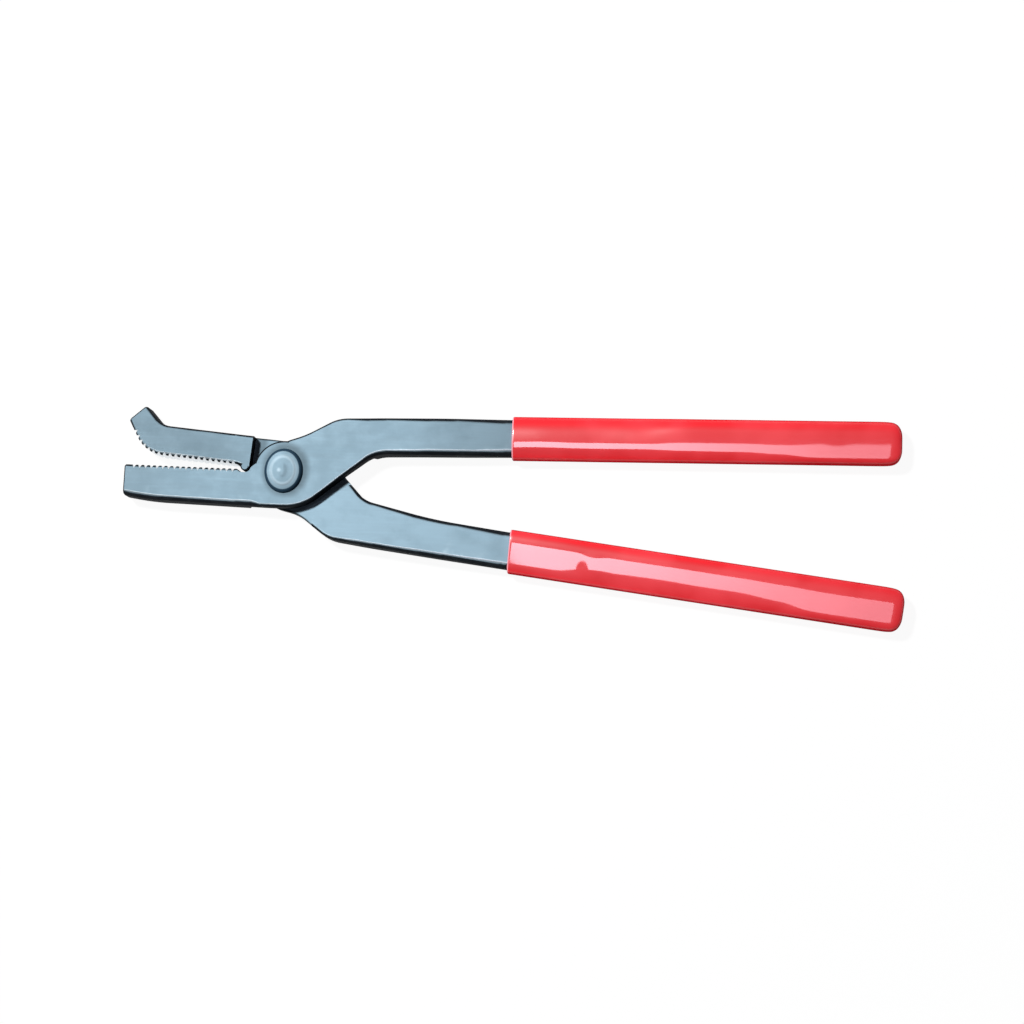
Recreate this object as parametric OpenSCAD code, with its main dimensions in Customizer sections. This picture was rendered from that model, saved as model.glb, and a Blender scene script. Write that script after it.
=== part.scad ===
// Nail clincher for farriers: two forged arms lap-jointed on one oval-headed rivet.
// The straight toothed jaw and the upper rein are one forging, the curved toothed
// jaw and the lower rein are the other, and each rein end is dipped in plastic.
// Millimetres. The rivet axis is Z, the straight jaw points along -X, and the tool
// lies on z = 0 on its flat back.

/* [Joint] */
// Thickness of the jaws and of the two laps together
joint_t = 13; // [10:0.5:18]
// Distance from the rivet axis to the straight shoulder behind each jaw
shoulder_x = 14.8; // [14.4:0.1:18]
// Distance from the rivet axis to the corner of the shoulder across the foot of the rear rein
foot_shoulder_x = 15.4; // [14.8:0.1:18]
// Radius of the round lap on the front arm
front_boss_r = 12.6; // [11:0.1:13]
// Radius of the round lap on the rear arm
rear_boss_r = 13; // [12:0.1:14]
// Gap between the two lap faces
lap_gap = 0.16; // [0.1:0.02:0.4]
// Distance from the rivet axis to the straight edge of the rear lap, on the jaw side
rear_lap_edge = 13.2; // [12.4:0.1:15]
// Angle between the gripping lines as the tool rests
rest_angle = 4.5; // [3:0.5:40]

/* [Straight jaw] */
// Distance from the rivet axis to the end of the straight jaw
straight_len = 67.3; // [60:0.1:80]
// Depth of the straight jaw at its end
straight_tip_depth = 12.6; // [9:0.1:14]
// Depth of the straight jaw at its root
straight_root_depth = 15.1; // [13.5:0.1:17]
// Height of the tooth crests of the straight jaw above the rivet axis
straight_bite = 0.2; // [-0.8:0.1:0.3]
// Number of teeth on the straight jaw
straight_teeth = 19; // [12:1:19]

/* [Curved jaw] */
// Distance from the rivet axis to the start of the curve
curve_start = 52; // [44:0.5:56]
// Radius of the toothed curve
curve_r = 13.8; // [10:0.1:18]
// How far the curve turns away from the gripping line
curve_turn = 57; // [40:1:65]
// Length of the toothed edge between the end of the curve and the tip
beak_len = 8.1; // [6:0.1:10]
// Width of the blunt end of the beak
beak_w = 9.3; // [7:0.1:11]
// Slope of the blunt end of the beak
beak_slope = 46; // [36:1:52]
// How far behind the start of the curve the back of the jaw bends
throat_shift = 1.8; // [1:0.1:3]
// Depth of the curved jaw behind its curve
curved_depth = 12.5; // [11:0.1:14]
// How far the tooth crests of the curved jaw stay short of the rivet axis
curved_bite_drop = 0.55; // [0.4:0.05:1]
// Number of teeth on the curved jaw
curved_teeth = 21; // [15:1:21]
// Radius of the heel behind the teeth of the curved jaw
heel_r = 1.8; // [1:0.1:2]
// Room round the heel in the gullet of the straight jaw
heel_room = 0.6; // [0.4:0.1:1]
// How far the gullet runs on towards the teeth
gullet_run = 1.4; // [0:0.1:2]
// Height of the middle of the gullet above the rivet axis
gullet_y = 1.2; // [0.8:0.1:1.6]

/* [Teeth] */
// Distance from one tooth to the next
tooth_pitch = 2.45; // [2:0.05:2.5]
// Depth of the grooves between the teeth
tooth_depth = 1.5; // [0.6:0.1:1.6]
// Flat left on the crest of a tooth
tooth_land = 0.9; // [0.2:0.1:1]
// Distance from the rivet axis to the crest of the tooth nearest to it
tooth_start = 20.4; // [19.5:0.1:21]
// Radius on the edges beside the teeth
bite_edge = 1.3; // [0.3:0.1:1.6]

/* [Necks] */
// Distance from the rivet axis to the outer bend of the front arm
front_bend_x = 21.3; // [19:0.1:24]
// Height of the outer bend of the front arm
front_bend_y = 23; // [21:0.1:25]
// Distance from the rivet axis to the outer bend of the rear arm
rear_bend_x = 21.8; // [19:0.1:24]
// Height of the outer bend of the rear arm
rear_bend_y = 25.7; // [24:0.1:27]
// Distance from the rivet axis to the bend on the inner side of both necks
hollow_x = 24.2; // [22:0.1:27]
// How far that bend lies below the rivet axis
hollow_drop = 1.5; // [0:0.1:3]
// Distance from the rivet axis to the inner foot of the front rein
front_crotch_x = 37.4; // [34:0.1:42]
// Height of the inner foot of the front rein
front_crotch_y = 8.7; // [7:0.1:10]
// Distance from the rivet axis to the inner foot of the rear rein
rear_crotch_x = 34.8; // [33:0.1:40]
// Height of the inner foot of the rear rein
rear_crotch_y = 8; // [7:0.1:10]

/* [Reins] */
// Width of a rein where it enters its grip
rein_w = 15.4; // [13:0.1:17]
// Distance from the rivet axis to the place where the reins begin to thin
taper_start = 22; // [20:1:40]
// Distance from the rivet axis to the place where the reins run straight
rein_mid_x = 65; // [58:0.5:75]
// Height of the middle of the front rein at that place
front_mid_y = 17.3; // [16:0.1:19]
// Height of the middle of the rear rein at that place
rear_mid_y = 20.1; // [18:0.1:22]
// Height of the middle of the front rein where it enters its grip
front_rein_y = 18.1; // [16:0.1:20]
// Height of the middle of the rear rein where it enters its grip, in its closed position
rear_rein_y = 21.3; // [19:0.1:23]
// Thickness of a rein inside its grip
rein_t = 9; // [8:0.1:10]
// Radius on the edges of a rein inside its grip
rein_edge = 3; // [2:0.1:3.4]
// Distance from the rivet axis to the end of the steel of the straight-jaw arm
front_rein_len = 249.6; // [220:0.1:280]
// Distance from the rivet axis to the end of the steel of the curved-jaw arm
rear_rein_len = 255.3; // [220:0.1:280]
// Slope of the gripped part of the straight-jaw arm
front_rein_slope = 1.5; // [0:0.1:3]
// Slope of the gripped part of the curved-jaw arm, in its closed position
rear_rein_slope = 1.7; // [0:0.1:3]
// Radius on the forged edges of the curved jaw and the joint
forged_edge = 1.4; // [0.8:0.1:2]
// Radius on the lower edges of the straight jaw
keel_edge = 2.4; // [1:0.1:3]

/* [Grips] */
// Distance from the rivet axis to the open end of the upper grip
front_grip_start = 94.3; // [85:0.1:110]
// Distance from the rivet axis to the open end of the lower grip
rear_grip_start = 97.4; // [85:0.1:110]
// How far the edge of the dip leans on the lower grip
rear_dip_lean = 3.3; // [0:0.1:6]
// Wall of the dipped plastic
dip_wall = 1.4; // [1:0.1:2.2]
// Plastic beyond the end of the steel
dip_tip = 4.4; // [3:0.1:8]
// Radius round the closed end of a grip
grip_end_r = 5.9; // [4:0.1:6]

/* [Rivet] */
// Radius of the shank
rivet_r = 5; // [4:0.1:6]
// Running clearance between the shank and the rear arm, on the radius
rivet_run = 0.08; // [0.04:0.01:0.1]
// Width of the oval head, along the tool
head_w = 16.2; // [13:0.1:18]
// Height of the oval head, across the tool
head_h = 18.6; // [14:0.1:20]
// Height of the dome above the arm
head_rise = 3; // [2:0.1:4]
// Radius of the countersunk tail, flush with the back
tail_r = 7.5; // [6.4:0.1:8.5]
// Depth of the countersunk tail
tail_depth = 2.4; // [1:0.1:3]

/* [Hidden] */

steel = [0.62, 0.73, 0.79];
dark_steel = [0.50, 0.63, 0.68];
red = [0.86, 0.18, 0.22];

mid_z = joint_t / 2;
cut = 60;            // longer than anything that is cut
arc_steps = 6;       // facets along each rounded corner of an outline
edge_steps = 3;      // facets round each edge of a forging
grip_edge_steps = 5; // facets round each edge of a grip
grip_end_steps = 6;  // facets from the side of a grip to its closed end
head_sides = 48;     // facets round the rivet head
least_edge = 0.3;    // smallest radius left on an edge that is set back
end_edge = 0.5;      // width of the eased edge round the sawn end of a jaw
root_edge = 2;       // edge radius at the foot of a rein
mid_edge = 2.4;      // edge radius where the reins run straight
end_round = 0.9;     // roundness of the closed end of a grip, across its thickness
bow = 1.6;           // how far the back of the straight jaw bows out behind its end
run_out = 10;        // distance that the front recess runs past the foot of the rein
heel_edge = 0.4;     // edge radius of the curved jaw beside its heel
jaw_edges = [bite_edge, forged_edge];
keel_edges = [bite_edge, keel_edge];
neck_edges = [forged_edge, forged_edge];
rein_edges = [rein_edge, rein_edge];
grip_edges = rein_edges + [dip_wall, dip_wall];

// Points of the round stretch at corner b between a and c, which starts and ends at
// the distance reach from b. It is a true arc, or evenly spaced where a-b-c is straight.
function unit(v) = v / norm(v);
function corner_point(p, b, q, w, t) =
    (p * (1 - t) * (1 - t) + b * 2 * w * t * (1 - t) + q * t * t)
    / ((1 - t) * (1 - t) + 2 * w * t * (1 - t) + t * t);
function round_corner(a, b, c, reach) =
    let (u = unit(b - a), v = unit(c - b), w = cos(acos(min(1, u * v)) / 2))
    [for (i = [0:arc_steps]) corner_point(b - u * reach, b, b + v * reach, w, i / arc_steps)];

// A station of an arm is [toothed-side point, its reach, other-side point, its reach,
// edge radii of the two sides]. The first and the last are the flat ends.
function side(stations, k) =
    let (n = len(stations))
    [stations[0][k],
     for (i = [1:n - 2])
        each round_corner(stations[i - 1][k], stations[i][k], stations[i + 1][k], stations[i][k + 1]),
     stations[n - 1][k]];
function along(stations, k) =
    let (n = len(stations))
    [stations[0][k], for (i = [1:n - 2]) each [for (j = [0:arc_steps]) stations[i][k]], stations[n - 1][k]];

// One ring of a loft: a rounded rectangle that stands across the bar from point a to
// point b, with thickness t and the two edge radii e, made smaller all round by inset.
function ring(a, b, t, e, inset, steps) =
    let (m = (a + b) / 2, d = unit(b - a), hw = norm(b - a) / 2 - inset, ht = t / 2 - inset)
    [for (q = [0:3], j = [0:steps])
        let (r = min(max(e[q == 0 || q == 3 ? 1 : 0] - inset, least_edge), hw, ht),
             angle = 90 * q + 90 * j / steps,
             cu = (q == 0 || q == 3 ? 1 : -1) * (hw - r),
             cz = (q < 2 ? 1 : -1) * (ht - r),
             u = cu + r * cos(angle), z = cz + r * sin(angle))
        [m[0] + d[0] * u, m[1] + d[1] * u, z]];

// Closed skin over a list of rings with the same number of points.
module skin(rings) {
    n = len(rings);
    m = len(rings[0]);
    polyhedron(
        points = [for (r = rings) each r],
        faces = concat(
            [[for (j = [m - 1:-1:0]) j]],
            [for (i = [0:n - 2], j = [0:m - 1])
                each let (k = (j + 1) % m, a = i * m)
                [[a + j, a + k, a + m + j], [a + k, a + m + k, a + m + j]]],
            [[for (j = [0:m - 1]) (n - 1) * m + j]]));
}

// Thickness of an arm at a point: full as far as the joint, and less towards the grip.
function arm_t(point) =
    let (u = min(max((point[0] - taper_start) / (front_grip_start - taper_start), 0), 1))
    joint_t - (joint_t - rein_t) * u * u;

// Forging with an eased end at its first station.
module forged_bar(stations) {
    a = side(stations, 0);
    b = side(stations, 2);
    e = along(stations, 4);
    n = len(a);
    t = [for (i = [0:n - 1]) arm_t((a[i] + b[i]) / 2)];
    a_in = a[0] + unit(a[1] - a[0]) * end_edge;
    b_in = b[0] + unit(b[1] - b[0]) * end_edge;
    skin(concat(
        [ring(a[0], b[0], t[0], e[0], end_edge, edge_steps),
         ring(a_in, b_in, t[0], e[0], 0, edge_steps)],
        [for (i = [1:n - 1]) ring(a[i], b[i], t[i], e[i], 0, edge_steps)]));
}

// The straight, tapered part of a rein inside its grip, from station to station.
function rein_axis(origin, slope, x) = [x, origin[1] + (x - origin[0]) * tan(slope)];
function rein_side(origin, slope, x, half) =
    rein_axis(origin, slope, x) + half * [-sin(slope), cos(slope)];

// Where each rein enters its grip, as the middle of the bar.
front_rein_at = [front_grip_start, front_rein_y];
rear_rein_at = [rear_grip_start, rear_rein_y];

curved_bite = -curved_bite_drop;
curve_reach = curve_r * tan(curve_turn / 2);
curve_corner = [-(curve_start + curve_reach), curved_bite];
beak_tip = curve_corner - (curve_reach + beak_len) * [cos(curve_turn), sin(curve_turn)];
beak_back = beak_tip + beak_w * [cos(beak_slope), -sin(beak_slope)];
curved_back = curved_bite - curved_depth;
throat = [-(curve_start + throat_shift), curved_back];
root_x = -shoulder_x - 2;

// The straight stretch of a rein, and its tapered end inside the grip.
function rein_stations(mid_y, origin, slope, x_end) = concat(
    [[[rein_mid_x, mid_y + rein_w / 2], 6, [rein_mid_x, mid_y - rein_w / 2], 10,
      [mid_edge, mid_edge]]],
    [for (x = [origin[0], x_end])
        [rein_side(origin, slope, x, rein_w / 2), 4, rein_side(origin, slope, x, -rein_w / 2), 4,
         rein_edges]]);

// Both arms are drawn the same way up: teeth on top of the jaw, jaw below the
// rivet axis, rein above it, and the lap cut into the back.
straight_arm_stations = concat([
    [[-straight_len, straight_bite], 1, [-straight_len, -straight_tip_depth], 1, keel_edges],
    [[-straight_len + 10, straight_bite], 4, [-straight_len + 11, -straight_tip_depth - bow], 7, keel_edges],
    [[root_x + 1.4, straight_bite], 1.5, [root_x, -straight_root_depth + 0.2], 4, keel_edges],
    [[1.4 - front_boss_r, 4.4], 1, [-7, -straight_root_depth], 2, neck_edges],
    [[0.5, front_boss_r + 0.2], 2, [-2, -straight_root_depth], 2, neck_edges],
    [[8, front_boss_r + 2.8], 4, [8.2, -straight_root_depth], 8, neck_edges],
    [[front_bend_x, front_bend_y], 4, [hollow_x, -hollow_drop], 4, neck_edges],
    [[front_crotch_x + 0.6, front_bend_y + 0.9], 4, [front_crotch_x, front_crotch_y], 5,
     [root_edge, root_edge]],
], rein_stations(front_mid_y, front_rein_at, front_rein_slope, front_rein_len));

curved_arm_stations = concat([
    [beak_tip, 1, beak_back, 1, jaw_edges],
    [curve_corner, curve_reach, throat, 3.5, jaw_edges],
    [[-38, curved_bite], 4, [-38, curved_back], 4, jaw_edges],
    [[-tooth_start - 0.2, curved_bite], 0.5, [root_x - 6, curved_back], 0.5, jaw_edges],
    [[root_x + 1.4, curved_bite], 1, [root_x, curved_back], 4, [heel_edge, forged_edge]],
    [[1.2 - rear_boss_r, 6], 1, [-8, -rear_lap_edge], 2, neck_edges],
    [[-4, rear_boss_r + 2], 4, [-1, -rear_lap_edge], 2, neck_edges],
    [[7.2, rear_boss_r + 3.6], 4, [12, -rear_lap_edge], 7, neck_edges],
    [[rear_bend_x, rear_bend_y], 4, [hollow_x, -hollow_drop], 4, neck_edges],
    [[rear_crotch_x + 3.2, rear_bend_y + 1], 4, [rear_crotch_x, rear_crotch_y], 4,
     [root_edge, root_edge]],
], rein_stations(rear_mid_y, rear_rein_at, rear_rein_slope, rear_rein_len));

// Shoulder line across the foot of each rein, where its lap recess ends.
front_arm_shoulder = [[front_crotch_x + run_out, front_crotch_y - 2.7], [foot_shoulder_x + 4.6, front_boss_r - 1.1],
                      [foot_shoulder_x - 1.1, front_bend_y]];
rear_arm_shoulder = [[rear_crotch_x - 3.8, 0], [foot_shoulder_x, front_boss_r + 1],
                     [foot_shoulder_x - 1.1, front_bend_y]];

// Round lap or heel with eased rims.
module boss(r, e, sides) {
    h = joint_t / 2;
    rotate_extrude($fn = sides)
        polygon([[0, -h], [r - e, -h], [r, -h + e], [r, h - e], [r - e, h], [0, h]]);
}

// What is cut from the back of an arm to let the other arm cross it, from the straight
// shoulder behind the jaw to the shoulder line across the foot of the rein.
module lap_recess(rein_shoulder) {
    translate([0, 0, -cut])
        linear_extrude(cut + lap_gap / 2)
            polygon(concat([[-shoulder_x, cut], [-shoulder_x, -cut], [cut, -cut]], rein_shoulder,
                           [[rein_shoulder[2][0], cut]]));
}

// One groove between two teeth, at the origin, opening along +Y and cut past the crests.
module groove() {
    over = tooth_depth;
    half = (tooth_pitch - tooth_land) / 2 * (tooth_depth + over) / tooth_depth;
    linear_extrude(cut, center = true) polygon([[-half, over], [0, -tooth_depth], [half, over]]);
}

module straight_grooves() {
    for (i = [0:straight_teeth - 2])
        translate([-tooth_start - (i + 0.5) * tooth_pitch, straight_bite]) groove();
}

// The toothed edge of the curved jaw, by the distance s from the point above the rivet:
// straight, then round the curve, then straight to the tip.
curve_len = curve_r * curve_turn * PI / 180;
curve_centre = [-curve_start, curved_bite - curve_r];
function curved_edge_turn(s) = min(max(s - curve_start, 0), curve_len) / curve_r * 180 / PI;
function curved_edge_point(s) =
    let (a = curved_edge_turn(s), rest = max(s - curve_start - curve_len, 0))
    s < curve_start ? [-s, curved_bite]
    : curve_centre + curve_r * [-sin(a), cos(a)] - rest * [cos(a), sin(a)];

module curved_grooves() {
    for (i = [0:curved_teeth - 2]) {
        s = tooth_start + (i + 0.5) * tooth_pitch;
        translate(curved_edge_point(s)) rotate(curved_edge_turn(s)) groove();
    }
}

// Gullet between the last tooth of the straight jaw and the joint, for the heel.
module heel_gullet() {
    hull()
        for (run = [0, gullet_run])
            translate([-shoulder_x - heel_r + 0.2 - run, gullet_y])
                cylinder(r = heel_r + heel_room, h = cut, center = true, $fn = 48);
}

module straight_arm_body() {
    difference() {
        union() {
            forged_bar(straight_arm_stations);
            boss(front_boss_r, forged_edge / 2, 96);
        }
        lap_recess(front_arm_shoulder);
        straight_grooves();
        heel_gullet();
        cylinder(r = rivet_r, h = cut, center = true, $fn = 64);
    }
}

module curved_arm_body() {
    difference() {
        union() {
            forged_bar(curved_arm_stations);
            boss(rear_boss_r, forged_edge / 2, 96);
            translate([-shoulder_x - heel_r, 0]) boss(heel_r, end_edge, 48);
        }
        lap_recess(rear_arm_shoulder);
        curved_grooves();
        cylinder(r = rivet_r + rivet_run, h = cut, center = true, $fn = 64);
        translate([0, 0, mid_z - tail_depth])
            cylinder(r1 = rivet_r + rivet_run, r2 = tail_r + rivet_run, h = tail_depth + 0.001, $fn = 64);
    }
}

module place_front() {
    translate([0, 0, mid_z]) children();
}

// The rear arm is turned face down, so that its lap lies under the front one.
module place_rear() {
    translate([0, 0, mid_z]) rotate(-rest_angle) rotate([180, 0, 0]) children();
}

// Dipped plastic over the end of a rein, closed at the tip, with an open end that leans.
module dipped_grip(origin, slope, rein_len, lean) {
    half = rein_w / 2 + dip_wall;
    t = rein_t + 2 * dip_wall;
    x_start = origin[0];
    x_end = rein_len + dip_tip;
    lip = dip_wall * 0.6;
    shift = half * tan(lean);
    function at(x, inset, shift = 0) =
        ring(rein_side(origin, slope, x + shift, half), rein_side(origin, slope, x - shift, -half),
             t, grip_edges, inset, grip_edge_steps);
    difference() {
        skin(concat(
            [at(x_start, lip, shift), at(x_start + lip, 0, shift)],
            [for (i = [0:grip_end_steps]) let (a = 90 * i / grip_end_steps)
                at(x_end - grip_end_r * (1 - sin(a)), grip_end_r * (1 - cos(a)) * end_round)]));
        skin([for (x = [x_start - dip_wall, rein_len])
            ring(rein_side(origin, slope, x, rein_w / 2), rein_side(origin, slope, x, -rein_w / 2),
                 rein_t, rein_edges, 0, edge_steps)]);
    }
}

module straight_jaw_arm() {
    color(steel) place_front() straight_arm_body();
}

module curved_jaw_arm() {
    color(dark_steel) place_rear() curved_arm_body();
}

// Oval domed head: a steep flank, a narrow rim and a shallow dome, as [set in, height].
module rivet_head() {
    flank = head_rise * 0.55;
    rim = head_rise * 0.65;
    profile = [[0, 0], [0.3, flank * 0.6], [0.8, flank], [1.4, rim], [2.3, rim + 0.05], [3.4, rim + 0.45],
               [5, head_rise - 0.25], [6.6, head_rise]];
    skin([for (p = profile)
        [for (i = [head_sides:-1:1]) let (a = 360 * i / head_sides)
            [(head_w / 2 - p[0]) * cos(a), (head_h / 2 - p[0]) * sin(a), p[1]]]]);
}

// Peened head on the front, parallel shank, countersunk tail flush with the back.
module pivot_rivet() {
    color(steel) {
        cylinder(r = rivet_r, h = joint_t, $fn = 64);
        cylinder(r1 = tail_r, r2 = rivet_r, h = tail_depth, $fn = 64);
        translate([0, 0, joint_t]) rivet_head();
    }
}

module upper_grip() {
    color(red) place_front() dipped_grip(front_rein_at, front_rein_slope, front_rein_len, 0);
}

module lower_grip() {
    color(red) place_rear() dipped_grip(rear_rein_at, rear_rein_slope, rear_rein_len, rear_dip_lean);
}

straight_jaw_arm();
curved_jaw_arm();
pivot_rivet();
upper_grip();
lower_grip();
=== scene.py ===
"""Nail clincher: the visible pieces and their finishes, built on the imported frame."""
import math

import bpy
import numpy as np
from mathutils import Matrix, Vector


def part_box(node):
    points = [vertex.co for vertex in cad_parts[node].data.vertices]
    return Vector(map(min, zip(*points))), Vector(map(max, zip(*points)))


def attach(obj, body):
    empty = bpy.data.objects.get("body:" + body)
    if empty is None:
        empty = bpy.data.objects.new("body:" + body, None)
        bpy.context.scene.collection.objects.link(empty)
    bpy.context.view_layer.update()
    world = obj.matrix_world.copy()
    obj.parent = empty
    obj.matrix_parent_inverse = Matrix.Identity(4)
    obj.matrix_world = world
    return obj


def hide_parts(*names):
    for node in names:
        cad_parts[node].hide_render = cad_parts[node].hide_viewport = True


bl_info = {
    "name": "Nail Clincher",
    "version": (1, 0, 0),
    "blender": (4, 5, 0),
    "location": "View3D > Sidebar > Clincher",
    "description": "Builds a nail clincher: two forged arms, a domed rivet and two dipped grips",
    "category": "Object",
}

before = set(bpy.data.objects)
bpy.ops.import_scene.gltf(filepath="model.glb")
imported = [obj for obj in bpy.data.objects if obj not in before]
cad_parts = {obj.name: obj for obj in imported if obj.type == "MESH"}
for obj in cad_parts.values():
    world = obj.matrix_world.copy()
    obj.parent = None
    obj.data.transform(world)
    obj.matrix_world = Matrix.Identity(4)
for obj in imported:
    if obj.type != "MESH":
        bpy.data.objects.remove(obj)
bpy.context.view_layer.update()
MM = 0.001


# Sizes and colours that can be changed
def colour(name, description, default):
    return bpy.props.FloatVectorProperty(
        name=name, description=description, default=default, size=3, min=0, max=1,
        subtype="COLOR")


def length(name, description, default_mm, low_mm, high_mm):
    return bpy.props.FloatProperty(
        name=name, description=description, default=default_mm * MM, min=low_mm * MM,
        max=high_mm * MM, subtype="DISTANCE", unit="LENGTH", precision=5)


def angle(name, description, default_degrees, low, high):
    return bpy.props.FloatProperty(
        name=name, description=description, default=math.radians(default_degrees),
        min=math.radians(low), max=math.radians(high), subtype="ANGLE", unit="ROTATION")


def share(name, description, default):
    return bpy.props.FloatProperty(
        name=name, description=description, default=default, min=0, max=1, subtype="FACTOR")


class ClincherSteel(bpy.types.PropertyGroup):
    ground_light: colour("Ground, light", "Brighter tone of the ground faces", (0.33, 0.465, 0.55))
    ground_deep: colour("Ground, deep", "Deeper tone of the ground faces", (0.275, 0.395, 0.47))
    # its colour also paints the highlights on eased edges and on the rivet's head
    burnish_and_highlight: colour("Burnished", "Edges rubbed bright by use", (0.66, 0.77, 0.83))
    scale: colour("Forge scale", "Dark skin of the walls left as forged", (0.009, 0.0115, 0.015))
    scale_thin: colour("Forge scale, thin", "Paler places in that skin", (0.017, 0.021, 0.025))
    machined: colour("Machined", "Cut sides of the teeth", (0.80, 0.84, 0.87))
    ground_roughness: share("Ground roughness", "Roughness of the ground faces", 0.72)
    scale_roughness: share("Scale roughness", "Roughness of the forge scale", 0.62)
    rivet_flank: colour("Rivet flank", "Blued side of the peened head", (0.022, 0.05, 0.08))


class ClincherRivet(bpy.types.PropertyGroup):
    head_width: length("Head width", "Oval head, along the tool", 16.2, 12, 20)
    head_length: length("Head length", "Oval head, across the tool", 18.6, 12, 22)
    head_rise: length("Head rise", "Top of the dome above the arm", 3.0, 1.5, 3.0)
    shank_radius: length("Shank radius", "Radius of the shank", 5.0, 3, 6)
    tail_radius: length("Tail radius", "Radius of the countersunk tail", 7.5, 5, 8)
    tail_depth: length("Tail depth", "Depth of the countersink", 2.4, 1, 3)
    sides: bpy.props.IntProperty(
        name="Sides", description="Facets round the rivet", default=72, min=24, max=128)


class ClincherGrips(bpy.types.PropertyGroup):
    plastic: colour("Plastic", "Colour of the dipped plastic", (0.98, 0.045, 0.06))
    plastic_deep: colour("Plastic, deep", "Colour where the dip is thick", (0.88, 0.022, 0.032))
    # painted shade: the plastic goes towards this colour where its skin turns away from the view,
    # and towards the handles' ends
    plastic_shade: colour("Plastic, side", "Colour seen along the skin", (0.45, 0.012, 0.016))
    # painted light: the pale colour of the open end stands in for a highlight along its lip
    plastic_lip_highlight: colour("Plastic, lip", "Colour of the thin open end", (0.95, 0.42, 0.48))
    wall: length("Wall", "Thickness of the dip", 1.45, 0.8, 2.5)
    lip: length("Lip", "Rounding of the open end", 0.55, 0.1, 0.8)
    gloss_roughness: share("Roughness", "Roughness of the plastic", 0.3)


class ClincherStudio(bpy.types.PropertyGroup):
    camera_distance: length("Camera distance", "From the middle of the tool", 1100, 300, 3000)
    camera_tilt: angle("Camera tilt", "Lean of the view towards the lower handle", 7.026, -30, 30)
    camera_lean: angle("Camera lean", "Lean of the view towards the handles", 4.963, -30, 30)
    camera_turn: angle("Camera turn", "Turn of the tool in the picture", 2.446, -180, 180)
    focal_length: bpy.props.FloatProperty(
        name="Focal length", description="Lens on a 36 mm frame", default=93.52, min=20, max=200,
        subtype="DISTANCE_CAMERA", unit="CAMERA")
    floor_colour: colour("Floor", "Pale studio floor", (0.93, 0.94, 0.94))
    sky_colour: colour("Room", "Pale room round the tool", (0.95, 0.98, 1.0))
    room_light: share("Room light", "Even light of the room", 0.06)


# Selection and modelling, as by hand
def leave_edit_mode():
    if bpy.context.object and bpy.context.object.mode != "OBJECT":
        bpy.ops.object.mode_set(mode="OBJECT")


def take(piece):
    """Makes this the only selected object."""
    leave_edit_mode()
    bpy.ops.object.select_all(action="DESELECT")
    piece.select_set(True)
    bpy.context.view_layer.objects.active = piece


def pick(piece, kind, test):
    """Enters edit mode with the vertices, edges or faces selected that pass the test."""
    take(piece)
    mesh = piece.data
    for items in (mesh.vertices, mesh.edges, mesh.polygons):
        items.foreach_set("select", [False] * len(items))
    for item in {"VERT": mesh.vertices, "EDGE": mesh.edges, "FACE": mesh.polygons}[kind]:
        item.select = test(item)
    bpy.context.tool_settings.mesh_select_mode = (kind == "VERT", kind == "EDGE", kind == "FACE")
    bpy.ops.object.mode_set(mode="EDIT")


def ends_of(piece, edge):
    return [piece.data.vertices[i].co for i in edge.vertices]


def apply_modifier(piece, kind, **settings):
    take(piece)
    modifier = piece.modifiers.new(kind.title(), kind)
    for name, value in settings.items():
        setattr(modifier, name, value)
    bpy.ops.object.modifier_apply(modifier=modifier.name)


def smooth(piece, sharp_angle):
    take(piece)
    bpy.ops.object.shade_smooth_by_angle(angle=sharp_angle)


def settle(piece, name, material, body, slot, *nodes):
    """Names a finished piece, paints it and puts it on its body in place of its CAD nodes."""
    take(piece)
    bpy.ops.object.transform_apply(location=True, rotation=True, scale=True)
    piece.name = name
    piece.data.name = name
    piece.data.materials.clear()
    piece.data.materials.append(material)
    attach(piece, body)
    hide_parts(*nodes)


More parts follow.
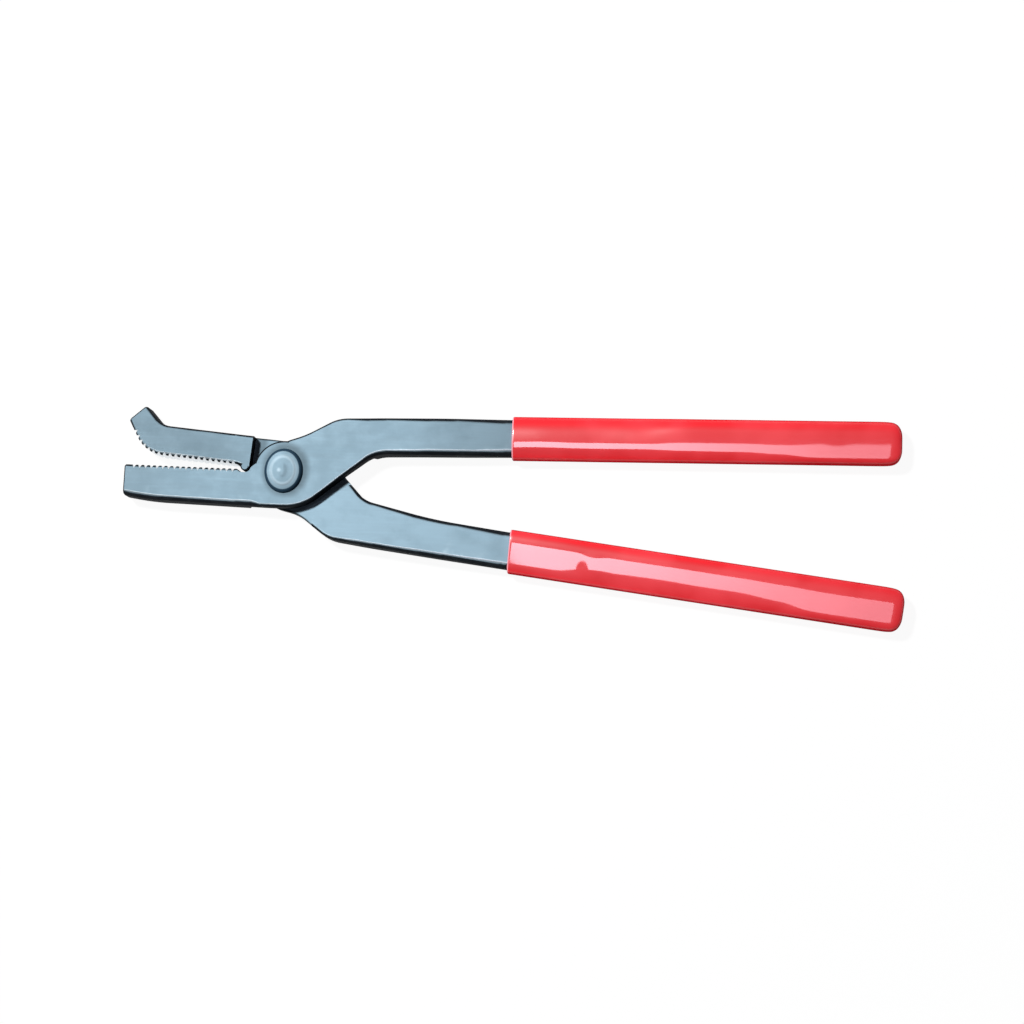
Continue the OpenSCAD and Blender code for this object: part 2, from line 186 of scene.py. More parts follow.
# Node materials
class Finish:
    """A material whose nodes are added one by one; each call gives the new node's output."""

    def __init__(self, name):
        self.material = bpy.data.materials.new(name)
        self.material.use_nodes = True
        self.tree = self.material.node_tree
        self.tree.nodes.clear()
        self.shader = self.tree.nodes.new("ShaderNodeBsdfPrincipled")
        output = self.tree.nodes.new("ShaderNodeOutputMaterial")
        self.tree.links.new(self.shader.outputs["BSDF"], output.inputs["Surface"])
        self.place = self.tree.nodes.new("ShaderNodeTexCoord")

    def feed(self, socket, value):
        if isinstance(value, bpy.types.NodeSocket):
            self.tree.links.new(value, socket)
        elif socket.type == "RGBA":
            socket.default_value = (*value[:3], 1)
        else:
            socket.default_value = value

    def add(self, kind, inputs, output=0, **settings):
        node = self.tree.nodes.new(kind)
        for name, value in settings.items():
            setattr(node, name, value)
        for socket, value in inputs.items():
            self.feed(node.inputs[socket], value)
        return node.outputs[output]

    def set(self, **inputs):
        for name, value in inputs.items():
            self.feed(self.shader.inputs[name.replace("_", " ")], value)

    def math(self, operation, first, second=0.0):
        return self.add("ShaderNodeMath", {0: first, 1: second}, operation=operation)

    def plus(self, first, second):
        return self.math("ADD", first, second)

    def minus(self, first, second):
        return self.math("SUBTRACT", first, second)

    def times(self, first, second):
        return self.math("MULTIPLY", first, second)

    def weigh(self, first, part, second):
        """One value for its part, and another for the rest."""
        return self.plus(self.times(first, part), self.times(second, 1 - part))

    def stretch(self, scale, turn):
        return self.add("ShaderNodeMapping", {
            "Vector": self.place.outputs["Object"], "Rotation": (0, 0, turn), "Scale": scale})

    def noise(self, vector, scale, detail, rough):
        return self.add("ShaderNodeTexNoise", {
            "Vector": vector, "Scale": scale, "Detail": detail, "Roughness": rough})

    def between(self, value, low, high, to_low=0.0, to_high=1.0):
        return self.add("ShaderNodeMapRange", {
            "Value": value, "From Min": low, "From Max": high, "To Min": to_low, "To Max": to_high},
            interpolation_type="SMOOTHSTEP")

    def mix(self, factor, first, second, blend="MIX"):
        return self.add("ShaderNodeMix", {0: factor, 6: first, 7: second}, output=2,
                        data_type="RGBA", blend_type=blend)

    def mix_value(self, factor, first, second):
        return self.add("ShaderNodeMix", {0: factor, 2: first, 3: second}, data_type="FLOAT")

    def split(self, vector, axis):
        return self.add("ShaderNodeSeparateXYZ", {0: vector}, output=axis)

    def facing(self, axis):
        """How far the surface looks along one axis, from -1 to 1."""
        return self.split(self.place.outputs["Normal"], axis)

    def darken(self, colours, shade):
        grey = self.add("ShaderNodeCombineColor", {0: shade, 1: shade, 2: shade})
        return self.mix(1.0, colours, grey, "MULTIPLY")

    def marked(self, name):
        """A mark that a piece's faces carry."""
        return self.add("ShaderNodeAttribute", {}, output="Fac", attribute_name=name)

    def reach(self, x, y, half_wide=1.0, half_long=1.0):
        """Distance in plan from a place, counted in half sizes where an oval is given."""
        vector = self.add("ShaderNodeMapping", {
            "Vector": self.place.outputs["Object"], "Scale": (1 / half_wide, 1 / half_long, 0),
            "Location": (-x / half_wide, -y / half_long, 0)})
        return self.add("ShaderNodeVectorMath", {0: vector}, output=1, operation="LENGTH")

    def bump(self, height, distance, strength, normal=None):
        inputs = {"Height": height, "Distance": distance, "Strength": strength}
        if normal is not None:
            inputs["Normal"] = normal
        return self.add("ShaderNodeBump", inputs)


# Steel
JAW_END = -20 * MM              # the teeth lie between this place and the tips of the jaws
SCRATCHES = (60, 2600, 60)      # how closely the marks of the belt lie along X, Y and Z
SCRATCH_TURN = math.radians(4)
HEAD_SHADE = (0.8 * MM, 0.5 * MM)       # middle of the painted shade round the rivet's head
HEAD_RING = 0.62                        # place of its painted light ring, in half sizes of the head

# How level a place is: 1 on a flat face and 0 on a wall. Each pair is where it starts and is full.
GROUND = (0.86, 0.965)
RUB_OUTER = (0.93, 0.975)       # painted highlight along an eased edge, on its side to the wall
RUB_INNER = (1.0, 0.988)        # and on its side to the flat face

ROUGH_SPREAD = 0.12             # how far the marks spread the roughness of a ground face
RUB_ROUGHNESS = 0.36
HEAD_RUB_ROUGHNESS = 0.6
CUT_ROUGHNESS = 0.28

# Painted shade along the tool, deeper where the light falls off: tones of the jaw, the lap and the
# rein, and from where to where along the tool, in millimetres, the jaw's tone goes over into the
# lap's
STRAIGHT_TONES = (0.62, 0.80, 0.78, -70, -28)
CURVED_TONES = (0.58, 0.86, 1.02, -42, 8)
RIVET_TONES = (0.80, 0.76, 1.0, -4, 6)

# Plan of the rear lap in millimetres, which places its painted shadow: the front lap's round edge,
# as a radius, and slanted edge, as a direction and a distance. Its own rim is hollow below, with a
# centre and a radius, and straight on top, with a slope and a height.
FRONT_ROUND = 13.4
FRONT_SLANT = (0.545, -0.838, 13.9)
RIM_HOLLOW = (-2.22, -34.85, 19.08)
RIM_TOP = (0.0666, 13.3)


def steel_finish(name, steel, tones, arm=""):
    """Ground faces with fine marks, smoother eased edges with a painted highlight, and walls left
    dark from the forge.
    """
    finish = Finish(name)
    here = finish.place.outputs["Object"]
    along = finish.split(here, 0)
    mottle = finish.noise(here, 160, 4, 0.6)
    marks = finish.noise(finish.stretch(SCRATCHES, SCRATCH_TURN), 1, 3, 0.6)
    level = finish.plus(finish.math("ABSOLUTE", finish.facing(2)),
                        finish.times(finish.minus(mottle, 0.5), 0.012))
    if arm == "straight_arm":
        level = finish.minus(level, darker_bite(finish, along))
    ground = finish.between(level, *GROUND)
    # painted highlight, with smoother steel, on eased edges of the arms or on the rivet's head
    rub_and_highlight = highlit_edges(finish, level) if arm else painted_head_highlights(finish)
    cut = finish.marked("machined")
    face = ground_face(finish, steel, mottle, marks, rub_and_highlight)
    face = finish.darken(face, shade_of(finish, along, tones, arm))
    skin = forge_scale(finish, steel, mottle) if arm else steel.rivet_flank
    skin = finish.mix(cut, skin, steel.machined)
    finish.set(Base_Color=finish.mix(ground, skin, face))
    finish.set(Metallic=finish.math("MAXIMUM", ground, cut))
    rough = finish.plus(
        steel.ground_roughness - ROUGH_SPREAD / 2, finish.times(marks, ROUGH_SPREAD))
    rough = finish.mix_value(rub_and_highlight, rough, RUB_ROUGHNESS if arm else HEAD_RUB_ROUGHNESS)
    skin_rough = finish.mix_value(cut, steel.scale_roughness, CUT_ROUGHNESS)
    finish.set(Roughness=finish.mix_value(ground, skin_rough, rough))
    finish.shader.inputs["Specular IOR Level"].default_value = 0.02
    scratched = finish.bump(marks, 0.00003, 0.5)
    finish.set(Normal=finish.bump(mottle, 0.0001, 0.35, scratched))
    return finish.material


def ground_face(finish, steel, mottle, marks, rub_and_highlight):
    """Ground steel, brighter and deeper in clouds, with faint marks of the belt and the painted
    highlight of the rub.
    """
    cloud = finish.noise(finish.place.outputs["Object"], 38, 3, 0.55)
    tone = finish.weigh(cloud, 0.65, mottle)
    face = finish.mix(finish.between(tone, 0.39, 0.61), steel.ground_deep, steel.ground_light)
    face = finish.mix(finish.between(marks, 0.35, 0.75, 0.0, 0.07), face, steel.burnish_and_highlight)
    return finish.mix(rub_and_highlight, face, steel.burnish_and_highlight)


def forge_scale(finish, steel, mottle):
    """Dark skin of the walls, with paler places where it is thin."""
    fleck = finish.noise(finish.place.outputs["Object"], 900, 2, 0.5)
    thin = finish.between(finish.weigh(mottle, 0.7, fleck), 0.42, 0.66)
    return finish.mix(thin, steel.scale, steel.scale_thin)


def darker_bite(finish, along):
    """How much less the eased edge over the straight jaw's teeth counts as level."""
    return finish.times(finish.between(finish.facing(1), 0.0, 0.05),
                        finish.between(along, JAW_END, JAW_END - 1 * MM, 0.0, 0.03))


def highlit_edges(finish, level):
    """Painted highlight on eased edges that look towards the lower handle, where they are also
    smoother.
    """
    rub_and_highlight = finish.times(finish.between(level, *RUB_OUTER), finish.between(level, *RUB_INNER))
    # the highlight is painted only where the edge looks towards the lower handle
    rub_and_highlight = finish.times(rub_and_highlight, finish.between(finish.facing(1), 0.0, -0.06))
    return finish.times(rub_and_highlight, finish.between(finish.facing(0), -0.12, -0.03))


def off_head(finish, x, y):
    """Distance in plan from a place, in half sizes of the rivet's head."""
    rivet = bpy.context.scene.clincher_rivet
    return finish.reach(x, y, rivet.head_width / 2, rivet.head_length / 2)


def painted_head_highlights(finish):
    """Painted highlights on the rivet's head: a light ring part way in from its edge, and a small
    glint left of its middle.
    """
    from_ring = finish.math("ABSOLUTE", finish.minus(off_head(finish, 0, 0), HEAD_RING))
    # painted light ring
    ring = finish.between(from_ring, 0.02, 0.13, 0.26, 0.0)
    # painted glint, left of the head's middle
    spot = finish.between(finish.reach(-1.6 * MM, 0), 0.2 * MM, 1.3 * MM, 0.36, 0.0)
    return finish.math("MAXIMUM", ring, spot)


def shade_of(finish, along, tones, arm):
    """How deep the painted shade of the steel is along the tool, round the rivet's head and in the
    joint.
    """
    jaw_tone, lap_tone, rein_tone, jaw_from, jaw_to = tones
    # painted shade: the tone along the tool follows the fall-off of the light
    shade = finish.times(finish.between(along, jaw_from * MM, jaw_to * MM, jaw_tone, lap_tone),
                         finish.between(along, 40 * MM, 95 * MM, 1.0, rein_tone))
    if arm == "straight_arm":
        # painted shade round the rivet's head
        shade_round_head = finish.between(off_head(finish, *HEAD_SHADE), 0.98, 1.4, 0.55, 1.0)
        shade = finish.times(shade, shade_round_head)
    # painted shadow in the joint, on the rear lap
    if arm == "curved_arm":
        shade = finish.times(shade, painted_joint_shadow(finish, along))
    return shade


def painted_joint_shadow(finish, along):
    """Painted shadow on the rear lap: at its shoulder, below the front lap's edge and along its
    rim.
    """
    here = finish.place.outputs["Object"]
    up = finish.split(here, 1)
    slant_x, slant_y, slant_off = FRONT_SLANT
    across = finish.plus(finish.times(along, slant_x), finish.times(up, slant_y))
    off_edge = finish.math("MINIMUM", finish.minus(finish.reach(0, 0), FRONT_ROUND * MM),
                           finish.minus(across, slant_off * MM))
    hollow_x, hollow_y, hollow_radius = RIM_HOLLOW
    off_rim = finish.minus(finish.reach(hollow_x * MM, hollow_y * MM), hollow_radius * MM)
    # painted shadow of the front lap's edge, fading out near the rear lap's rim
    lap_edge_shadow = finish.times(finish.between(off_edge, 2.4 * MM, 4.4 * MM, 0.4, 1.0),
                          finish.between(off_rim, 0.4 * MM, 0.9 * MM, 0.15, 1.0))
    top_slope, top_height = RIM_TOP
    off_top = finish.minus(top_height * MM, finish.plus(up, finish.times(along, top_slope)))
    # painted shade in the shoulder's corner and along the top of the rim
    corner = finish.times(finish.between(along, -10.2 * MM, -7.6 * MM, 0.62, 1.0),
                          finish.between(off_top, 0.3 * MM, 0.8 * MM, 0.15, 1.0))
    lower_side = finish.between(up, 3 * MM, 6 * MM, 1.0, 0.0)
    over_lap = finish.between(finish.split(here, 2), 8 * MM, 9 * MM)
    return finish.mix_value(over_lap, finish.mix_value(lower_side, corner, lap_edge_shadow), 1.0)


# Dipped plastic
def plastic_finish(name, grips):
    """Glossy plastic, duller towards the handles' ends, with a faint peel and small scuffs, painted
    shade where the skin turns away, and a painted light line on the lip.
    """
    finish = Finish(name)
    here = finish.place.outputs["Object"]
    cloud = finish.noise(here, 45, 2, 0.5)
    peel = finish.noise(here, 420, 2, 0.5)
    scuff = finish.noise(finish.stretch((300, 1500, 900), math.radians(12)), 1, 4, 0.6)
    aside = finish.add("ShaderNodeLayerWeight", {"Blend": 0.5}, output="Facing")
    along = finish.split(here, 0)
    face = finish.mix(finish.between(cloud, 0.35, 0.65), grips.plastic_deep, grips.plastic)
    towards_end = finish.between(along, 150 * MM, 240 * MM, 0.0, 0.32)
    # darker towards the handles' ends
    face = finish.mix(towards_end, face, grips.plastic_shade)
    # painted shade where the skin turns away from the view
    face = finish.mix(finish.between(aside, 0.5, 0.95), face, grips.plastic_shade)
    # painted light line along the lip of the open end
    lip_highlight = finish.times(finish.marked("lip"), 0.8)
    finish.set(Base_Color=finish.mix(lip_highlight, face, grips.plastic_lip_highlight))
    finish.set(Roughness=finish.plus(
        grips.gloss_roughness, finish.between(scuff, 0.62, 0.8, 0.0, 0.15)))
    finish.set(Specular_IOR_Level=finish.between(aside, 0.15, 0.6, 0.6, 0.0))
    gloss = finish.between(along, 90 * MM, 250 * MM, 0.97, 0.33)
    finish.set(Coat_Weight=finish.times(gloss, finish.between(aside, 0.0, 0.2, 1.0, 0.0)))
    finish.shader.inputs["Coat IOR"].default_value = 3.4
    finish.shader.inputs["Coat Roughness"].default_value = 0.05
    finish.set(Normal=finish.bump(peel, 0.00004, 0.2))
    return finish.material


PLAIN_PART = 0.94       # how much of the floor's look is plain white to the camera


def pale_ground(name, paint):
    """Pale matt floor that keeps a soft shadow and shows the camera a clean white."""
    material = bpy.data.materials.new(name)
    material.use_nodes = True
    tree = material.node_tree
    tree.nodes.clear()
    matt = tree.nodes.new("ShaderNodeBsdfDiffuse")
    matt.inputs["Color"].default_value = (*paint, 1)
    plain = tree.nodes.new("ShaderNodeEmission")
    path = tree.nodes.new("ShaderNodeLightPath")
    seen = path.outputs["Is Camera Ray"]
    for ray in ("Is Glossy Ray", "Is Transmission Ray"):
        either = tree.nodes.new("ShaderNodeMath")
        either.operation = "MAXIMUM"
        tree.links.new(seen, either.inputs[0])
        tree.links.new(path.outputs[ray], either.inputs[1])
        seen = either.outputs[0]
    part = tree.nodes.new("ShaderNodeMath")
    part.operation = "MULTIPLY"
    part.inputs[1].default_value = PLAIN_PART
    tree.links.new(seen, part.inputs[0])
    blend = tree.nodes.new("ShaderNodeMixShader")
    tree.links.new(part.outputs[0], blend.inputs[0])
    tree.links.new(matt.outputs[0], blend.inputs[1])
    tree.links.new(plain.outputs[0], blend.inputs[2])
    output = tree.nodes.new("ShaderNodeOutputMaterial")
    tree.links.new(blend.outputs[0], output.inputs["Surface"])
    return material


# Forged arms. An edge sharper than this angle stays sharp in the shading.
ARM_SHARP = math.radians(34)


def copy_of(node):
    """A copy of a CAD solid with its loose triangles joined into one skin."""
    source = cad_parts[node]
    piece = bpy.data.objects.new(node + "_copy", source.data.copy())
    bpy.context.scene.collection.objects.link(piece)
    take(piece)
    bpy.ops.mesh.customdata_custom_splitnormals_clear()
    bpy.ops.object.mode_set(mode="EDIT")
    bpy.ops.mesh.select_all(action="SELECT")
    bpy.ops.mesh.remove_doubles(threshold=0.001 * MM)
    leave_edit_mode()
    return piece


def tooth_side(face, straight):
    """Whether a wall belongs to the cut edge of a jaw, with its teeth and grooves."""
    if face.center.x > JAW_END or abs(face.normal.z) > 0.1:
        return False
    inward = face.normal.y if straight else -face.normal.y
    return inward > 0.2 and (not straight or face.center.y > -2 * MM)


def forge_arm(steel, node, name, body, tones):
    """One forging, with the cut edge of its jaw marked as machined."""
    straight = body == "straight_arm"
    piece = copy_of(node)
    material = steel_finish(name.replace("_", " "), steel, tones, body)
    smooth(piece, ARM_SHARP)
    machined = piece.data.attributes.new("machined", "FLOAT", "FACE")
    for face in piece.data.polygons:
        machined.data[face.index].value = 1.0 if tooth_side(face, straight) else 0.0
    apply_modifier(piece, "WEIGHTED_NORMAL", keep_sharp=True)
    settle(piece, name, material, body, "steel", node)


class CLINCHER_OT_forge_arms(bpy.types.Operator):
    """Builds the two forged arms, each with its jaw, lap and rein"""

    bl_idname = "clincher.forge_arms"
    bl_label = "Forge the arms"

    def execute(self, context):
        steel = context.scene.clincher_steel
        for node, name, body, tones in (
                ("straight_jaw_arm", "straight_jaw_forging", "straight_arm", STRAIGHT_TONES),
                ("curved_jaw_arm", "curved_jaw_forging", "curved_arm", CURVED_TONES)):
            forge_arm(steel, node, name, body, tones)
        return {"FINISHED"}


# Rivet
RIVET_SHARP = math.radians(40)
TAIL_EASE = 0.2 * MM        # small slant round the end of the tail

# Half section of the head: how far in from its widest outline, in millimetres, and the height there
# as a part of the whole rise. A steep flank, a low step and a nearly flat dome.
HEAD_SECTION = (
    (0.15, 0.0), (0.0, 0.05), (0.25, 0.25), (0.6, 0.49), (0.95, 0.64), (1.3, 0.72), (1.6, 0.75),
    (2.5, 0.76), (2.9, 0.79), (3.3, 0.83), (3.8, 0.85), (5.0, 0.87), (6.0, 0.885), (6.6, 0.92),
    (7.2, 0.965), (7.7, 0.99))


def grow(up, wide, long_):
    """Extrudes the selected face upwards and then scales it along and across."""
    bpy.ops.mesh.extrude_region_move(TRANSFORM_OT_translate={"value": (0, 0, up)})
    bpy.ops.transform.resize(value=(wide, long_, 1))


def raise_rivet(rivet):
    """Countersunk tail, shank, and an oval head with a steep flank, a rim and a low dome."""
    bpy.ops.object.select_all(action="DESELECT")
    low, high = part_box("pivot_rivet")
    bpy.ops.mesh.primitive_circle_add(
        vertices=rivet.sides, radius=rivet.tail_radius - TAIL_EASE, fill_type="NGON",
        location=(0, 0, low.z))
    piece = bpy.context.object
    pick(piece, "FACE", lambda face: True)
    head_base = high.z - rivet.head_rise
    tail = rivet.tail_radius
    widths = (tail - TAIL_EASE, tail, rivet.shank_radius, rivet.shank_radius)
    heights = (0, TAIL_EASE, rivet.tail_depth, head_base - low.z)
    for i in range(1, len(widths)):
        factor = widths[i] / widths[i - 1]
        grow(heights[i] - heights[i - 1], factor, factor)
    half_wide = rivet.head_width / 2
    half_long = rivet.head_length / 2
    rise = rivet.head_rise
    wide = long_ = rivet.shank_radius
    at = 0.0
    for inset, height in HEAD_SECTION:
        new_wide = half_wide - inset * MM
        new_long = half_long - inset * MM
        grow((height - at) * rise, new_wide / wide, new_long / long_)
        wide, long_, at = new_wide, new_long, height
    bpy.ops.mesh.extrude_region_move(TRANSFORM_OT_translate={"value": (0, 0, (1 - at) * rise)})
    bpy.ops.mesh.merge(type="CENTER")
    bpy.ops.mesh.select_all(action="SELECT")
    bpy.ops.mesh.normals_make_consistent(inside=False)
    leave_edit_mode()
    return piece


class CLINCHER_OT_set_rivet(bpy.types.Operator):
    """Builds the rivet that both arms turn on"""

    bl_idname = "clincher.set_rivet"
    bl_label = "Set the rivet"

    def execute(self, context):
        piece = raise_rivet(context.scene.clincher_rivet)
        smooth(piece, RIVET_SHARP)
        steel = context.scene.clincher_steel
        material = steel_finish("peened rivet steel", steel, RIVET_TONES)
        settle(piece, "peened_rivet", material, "straight_arm", "rivet_steel", "pivot_rivet")
        return {"FINISHED"}


# Dipped grips
GRIP_SHARP = math.radians(50)
CAGE_SIDES = 12
CAGE_CUTS = 18              # cuts along the cage
CAGE_SQUARING = 1.13        # scale of the edges between its top, its bottom and its two sides
MOUTH_RUN = 1.1 * MM        # how far the mouth lies before the place where its sides are taken
CORNER_PART = 0.42          # part of the half width that counts for the corner of a sloping end

# Rounded end: the length kept for it, its steps as millimetres out, width and thickness, and how
# far in the ring on its tip lies
END_ROUND = 5.2 * MM
END_STEPS = ((2.4, 0.93, 0.985), (1.7, 0.82, 0.93), (0.9, 0.62, 0.76))
END_INSET = 1.6 * MM

# Lines of the cage along the upper side, as places across in half widths, and how far each is
# lifted over a stretch of the grip: its start, its end and the five lifts in millimetres
CROWN_LINES = (0.98, 0.565, 0.0, -0.565, -0.98)
UPPER_CROWN = ((-1, 62, (0.0, -0.25, 0.0, -0.25, 0.0)),
               (62, 100, (0.6, 0.46, 0.0, -0.25, 0.5)),
               (100, 117, (0.3, 0.3, 0.0, -0.3, 1.0)),
               (117, 170, (0.3, 0.42, 0.0, -0.38, 1.8)))
LOWER_CROWN = ((-1, 26, (2.0, 0.75, 0.0, -0.7, 1.0)),
               (26, 100, (1.6, 0.7, 0.0, -0.7, 0.4)),
               (100, 117, (1.5, 0.6, 0.0, -0.6, 0.8)),
               (117, 170, (1.3, 0.5, 0.0, -0.5, 1.4)))

# Soft runs in the dip, as place along, place across, lift and reach in millimetres
UPPER_RUNS = ((12, 3, 0.15, 14), (38, -3, -0.2, 16), (70, -2, 0.15, 20), (112, -2, 0.12, 22),
              (134, 4, -0.03, 8))
LOWER_RUNS = ((35, -2.5, 0.25, 8), (60, 2, 0.1, 18), (100, -3, 0.1, 24), (140, -4, 0.1, 22))


def widest(points, place, within):
    """The two sides of a bar-shaped solid at one place along the tool."""
    ring = points[abs(points[:, 0] - place) < within]
    return Vector(ring[ring[:, 1].argmin()]), Vector(ring[ring[:, 1].argmax()])


def lie_of(node):
    """How a grip's CAD solid lies: its mouth, slope, the mouth's lean, length and half sizes."""
    points = np.array([v.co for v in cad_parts[node].data.vertices])
    low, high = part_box(node)
    mouth = widest(points, low.x + 1.6 * MM, 2 * MM)
    end = widest(points, high.x - 7 * MM, 2.5 * MM)
    centre_z = (low.z + high.z) / 2
    start = (mouth[0] + mouth[1]) / 2
    run = (end[0] + end[1]) / 2 - start
    slope = math.atan2(run.y, run.x)
    side = mouth[1] - mouth[0]
    lean = math.atan2(-side.x, side.y) - slope
    half_width = side.xy.length * math.cos(lean) / 2
    start.x -= MOUTH_RUN
    start.z = centre_z
    corner = CORNER_PART * half_width * abs(math.sin(slope))
    full = (high.x - start.x - corner) / math.cos(slope)
    return start, slope, lean, full, half_width, (high.z - low.z) / 2


def nudge(piece, along, across, lift, reach):
    """Lifts the skin softly round one place of its upper side."""
    spot = Vector((along, across, 0))
    verts = [v for v in piece.data.vertices if v.co.z > 0]
    nearest = min(verts, key=lambda v: (Vector((v.co.x, v.co.y, 0)) - spot).length)
    pick(piece, "VERT", lambda v: v.index == nearest.index)
    bpy.ops.transform.translate(
        value=(0, 0, lift), use_proportional_edit=True, proportional_edit_falloff="SMOOTH",
        proportional_size=reach)
    leave_edit_mode()


def press(piece, first, last, across, lift):
    """Moves the cage's upper side up or down over a stretch of one of its lines."""
    pick(piece, "VERT", lambda v: (
        v.co.z > 1 * MM and first <= v.co.x <= last and abs(v.co.y - across) < 1.2 * MM))
    bpy.ops.transform.translate(value=(0, 0, lift))
    leave_edit_mode()


def raise_cage(half_width, half_thick, body_length, crown):
    """A long cage, squared a little, crowned on top, stepped in at its end, open at its mouth."""
    bpy.ops.object.select_all(action="DESELECT")
    bpy.ops.mesh.primitive_cylinder_add(
        vertices=CAGE_SIDES, radius=1, depth=body_length, end_fill_type="NGON",
        location=(body_length / 2, 0, 0), rotation=(0, math.radians(90), 0))
    piece = bpy.context.object
    bpy.ops.object.transform_apply(location=True, rotation=True, scale=True)
    pick(piece, "VERT", lambda v: True)
    bpy.ops.transform.resize(value=(1, half_width, half_thick), center_override=(0, 0, 0))
    pick(piece, "VERT", lambda v: (
        abs(v.co.y) > 0.3 * half_width and abs(v.co.z) > 0.3 * half_thick))
    bpy.ops.transform.resize(
        value=(1, CAGE_SQUARING, CAGE_SQUARING), center_override=(0, 0, 0))
    pick(piece, "EDGE", lambda e: (
        abs(ends_of(piece, e)[0].x - ends_of(piece, e)[1].x) > body_length / 2))
    bpy.ops.mesh.subdivide(number_cuts=CAGE_CUTS)
    for first, last, lifts in crown:
        for across, lift in zip(CROWN_LINES, lifts):
            press(piece, first * MM, last * MM, across * half_width, lift * MM)
    pick(piece, "FACE", lambda f: f.normal.x > 0.9)
    for out, wide, thick in END_STEPS:
        bpy.ops.mesh.extrude_region_move(TRANSFORM_OT_translate={"value": (out * MM, 0, 0)})
        bpy.ops.transform.resize(value=(1, wide, thick))
    bpy.ops.mesh.inset(thickness=END_INSET)
    pick(piece, "FACE", lambda f: f.normal.x < -0.9)
    bpy.ops.mesh.delete(type="FACE")
    leave_edit_mode()
    return piece


def dip_grip(grips, node, crown, runs):
    """A sleeve of dipped plastic, with soft runs on its upper side and a rounded end."""
    start, slope, lean, full, half_width, half_thick = lie_of(node)
    piece = raise_cage(half_width, half_thick, full - END_ROUND, crown)
    apply_modifier(piece, "SUBSURF", levels=3, render_levels=3)
    fit_to(piece, full, half_width, half_thick)
    for along, across, lift, reach in runs:
        nudge(piece, along * MM, across * MM, lift * MM, reach * MM)
    pick(piece, "VERT", lambda v: v.co.x < 0.01 * MM)
    bpy.ops.transform.rotate(value=-lean, orient_axis="Z", center_override=(0, 0, 0))
    leave_edit_mode()
    apply_modifier(
        piece, "SOLIDIFY", thickness=grips.wall, offset=-1, use_even_offset=True, use_rim=True)
    pick(piece, "EDGE", lambda e: is_rim(piece, e, lean))
    bpy.ops.mesh.bevel(offset=grips.lip, segments=4, profile=0.5, clamp_overlap=True)
    leave_edit_mode()
    lip = piece.data.attributes.new("lip", "FLOAT", "FACE")
    for face in piece.data.polygons:
        lip.data[face.index].value = 1.0 if face.select else 0.0
    smooth(piece, GRIP_SHARP)
    piece.matrix_world = Matrix.Translation(start) @ Matrix.Rotation(slope, 4, "Z")
    return piece


def is_rim(piece, edge, lean):
    """Whether an edge runs round the open end, and not from the outer to the inner skin."""
    first, second = ends_of(piece, edge)
    if any(point.x + point.y * math.tan(lean) > 0.02 * MM for point in (first, second)):
        return False
    outward = Vector((0, first.y + second.y, first.z + second.z)).normalized()
    return abs((second - first).normalized().dot(outward)) < 0.7


def fit_to(piece, full, half_width, half_thick):
    """Scales a skin to the reach of its CAD solid along, across and down."""
    points = np.array([v.co for v in piece.data.vertices])
    low, high = points.min(axis=0), points.max(axis=0)
    pick(piece, "VERT", lambda v: True)
    middle = (low + high) / 2
    along, across = full / (high[0] - low[0]), 2 * half_width / (high[1] - low[1])
    bpy.ops.transform.resize(
        value=(along, across, half_thick / -low[2]), center_override=(middle[0], middle[1], 0))
    bpy.ops.transform.translate(value=(full / 2 - middle[0], -middle[1], 0))
    leave_edit_mode()


class CLINCHER_OT_dip_grips(bpy.types.Operator):
    """Builds the two grips of glossy dipped plastic"""

    bl_idname = "clincher.dip_grips"
    bl_label = "Dip the grips"

    def execute(self, context):
        grips = context.scene.clincher_grips
        material = plastic_finish("dipped plastic", grips)
        for node, name, body, crown, runs in (
                ("upper_grip", "upper_dipped_grip", "straight_arm", UPPER_CROWN, UPPER_RUNS),
                ("lower_grip", "lower_dipped_grip", "curved_arm", LOWER_CROWN, LOWER_RUNS)):
            piece = dip_grip(grips, node, crown, runs)
            settle(piece, name, material, body, "dipped_plastic", node)
        return {"FINISHED"}


# Stage
TOOL_MIDDLE = Vector((95.31, -12.37, 6.5)) * MM     # what the camera looks at
FLOOR_RADIUS = 6
FLOOR_MIDDLE = (0.1, 0, -0.05 * MM)                 # a little below the tool

# Softboxes: name, place and aim in metres, width, depth, power in watts and tint. A small strong
# one lights the tool from its upper left, and a wide weak one beside the lower handle looks down.
SOFTBOXES = (
    ("key_softbox", (-0.52, 0.45, 1.50), (0, 0, 0), 0.15, 0.15, 35.5, (1.0, 1.0, 1.0)),
    ("strip_softbox", (0.15, -0.19, 1.30), (0.15, -0.19, 0), 0.45, 0.37, 1.0, (0.98, 0.86, 1.0)))


def softbox(name, place, aim, width, depth, power, tint):
    """Hangs one soft light and turns it to its aim."""
    lamp = bpy.data.lights.new(name, "AREA")
    lamp.shape = "RECTANGLE"
    lamp.size = width
    lamp.size_y = depth
    lamp.energy = power
    lamp.color = tint
    light = bpy.data.objects.new(name, lamp)
    light.location = place
    light.rotation_euler = (Vector(aim) - Vector(place)).to_track_quat("-Z", "Y").to_euler()
    bpy.context.scene.collection.objects.link(light)


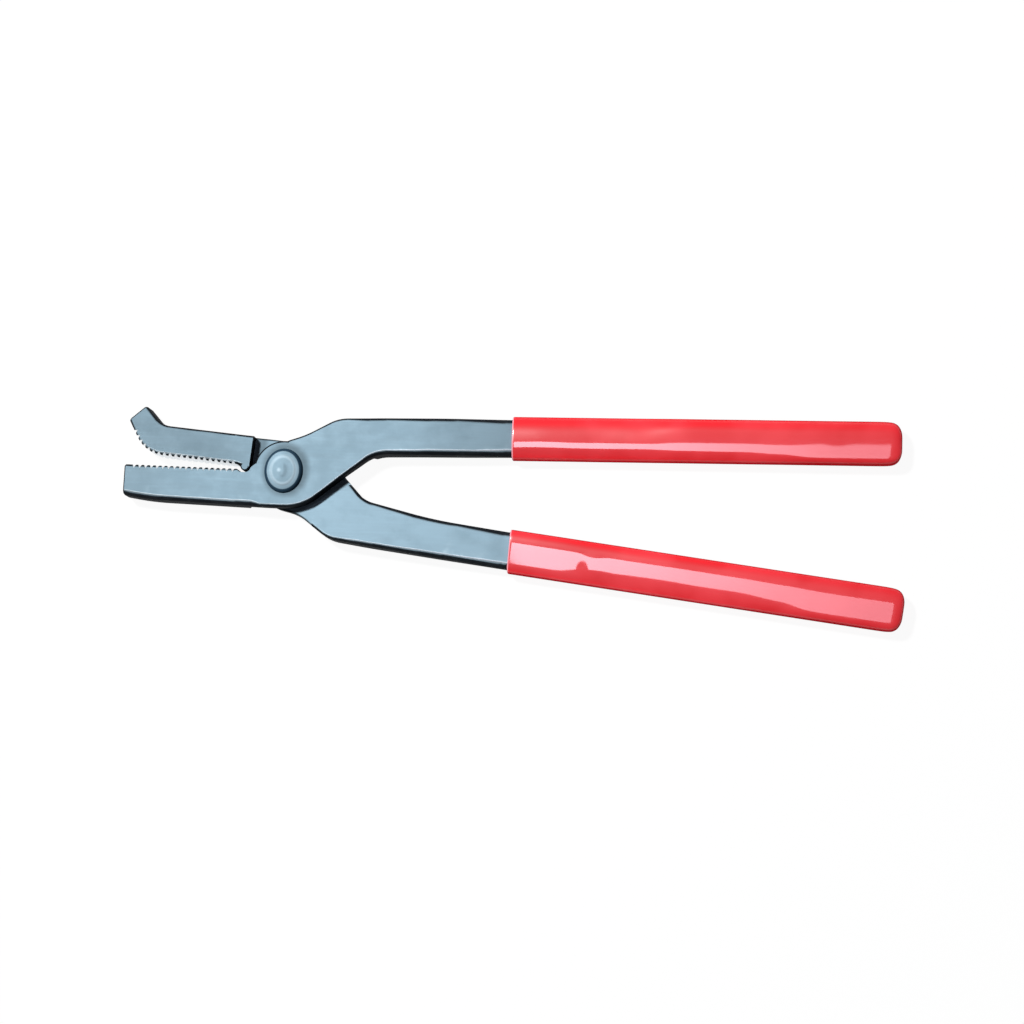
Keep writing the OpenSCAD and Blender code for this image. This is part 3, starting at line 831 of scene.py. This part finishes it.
class CLINCHER_OT_set_stage(bpy.types.Operator):
    """Places the camera, the pale floor and the soft lights"""

    bl_idname = "clincher.set_stage"
    bl_label = "Set the stage"

    def execute(self, context):
        studio = context.scene.clincher_studio
        self.place_camera(context, studio)
        self.lay_floor(studio)
        self.light_room(context, studio)
        return {"FINISHED"}

    def place_camera(self, context, studio):
        lens = bpy.data.cameras.new("camera")
        lens.lens = studio.focal_length
        lens.sensor_width = 36
        lens.clip_end = 20
        camera = bpy.data.objects.new("camera", lens)
        turned = (Matrix.Rotation(studio.camera_turn, 4, "Z")
                  @ Matrix.Rotation(studio.camera_tilt, 4, "X")
                  @ Matrix.Rotation(studio.camera_lean, 4, "Y"))
        stand_off = Matrix.Translation((0, 0, studio.camera_distance))
        camera.matrix_world = Matrix.Translation(TOOL_MIDDLE) @ turned @ stand_off
        context.scene.collection.objects.link(camera)
        context.scene.camera = camera

    def lay_floor(self, studio):
        bpy.ops.object.select_all(action="DESELECT")
        bpy.ops.mesh.primitive_circle_add(
            vertices=64, radius=FLOOR_RADIUS, fill_type="NGON", location=FLOOR_MIDDLE)
        floor = bpy.context.object
        floor.name = "studio_floor"
        floor.data.materials.append(pale_ground("pale floor", studio.floor_colour))

    def light_room(self, context, studio):
        for light in SOFTBOXES:
            softbox(*light)
        world = bpy.data.worlds.new("pale room")
        world.use_nodes = True
        background = world.node_tree.nodes["Background"]
        background.inputs["Color"].default_value = (*studio.sky_colour, 1)
        background.inputs["Strength"].default_value = studio.room_light
        context.scene.world = world
        context.scene.view_settings.view_transform = "Standard"


class CLINCHER_PT_panel(bpy.types.Panel):
    """The pieces of the clincher and its stage"""

    bl_label = "Nail clincher"
    bl_idname = "CLINCHER_PT_panel"
    bl_space_type = "VIEW_3D"
    bl_region_type = "UI"
    bl_category = "Clincher"

    def draw(self, context):
        for step in STEPS:
            self.layout.operator(step.bl_idname)


GROUPS = (("clincher_steel", ClincherSteel), ("clincher_rivet", ClincherRivet),
          ("clincher_grips", ClincherGrips), ("clincher_studio", ClincherStudio))
STEPS = (CLINCHER_OT_set_stage, CLINCHER_OT_forge_arms, CLINCHER_OT_set_rivet,
         CLINCHER_OT_dip_grips)


def register():
    for name, group in GROUPS:
        bpy.utils.register_class(group)
        setattr(bpy.types.Scene, name, bpy.props.PointerProperty(type=group))
    for step in STEPS:
        bpy.utils.register_class(step)
    bpy.utils.register_class(CLINCHER_PT_panel)


def unregister():
    bpy.utils.unregister_class(CLINCHER_PT_panel)
    for step in reversed(STEPS):
        bpy.utils.unregister_class(step)
    for name, group in reversed(GROUPS):
        delattr(bpy.types.Scene, name)
        bpy.utils.unregister_class(group)


def main():
    register()
    bpy.ops.clincher.set_stage()
    bpy.ops.clincher.forge_arms()
    bpy.ops.clincher.set_rivet()
    bpy.ops.clincher.dip_grips()


if __name__ == "__main__":
    main()
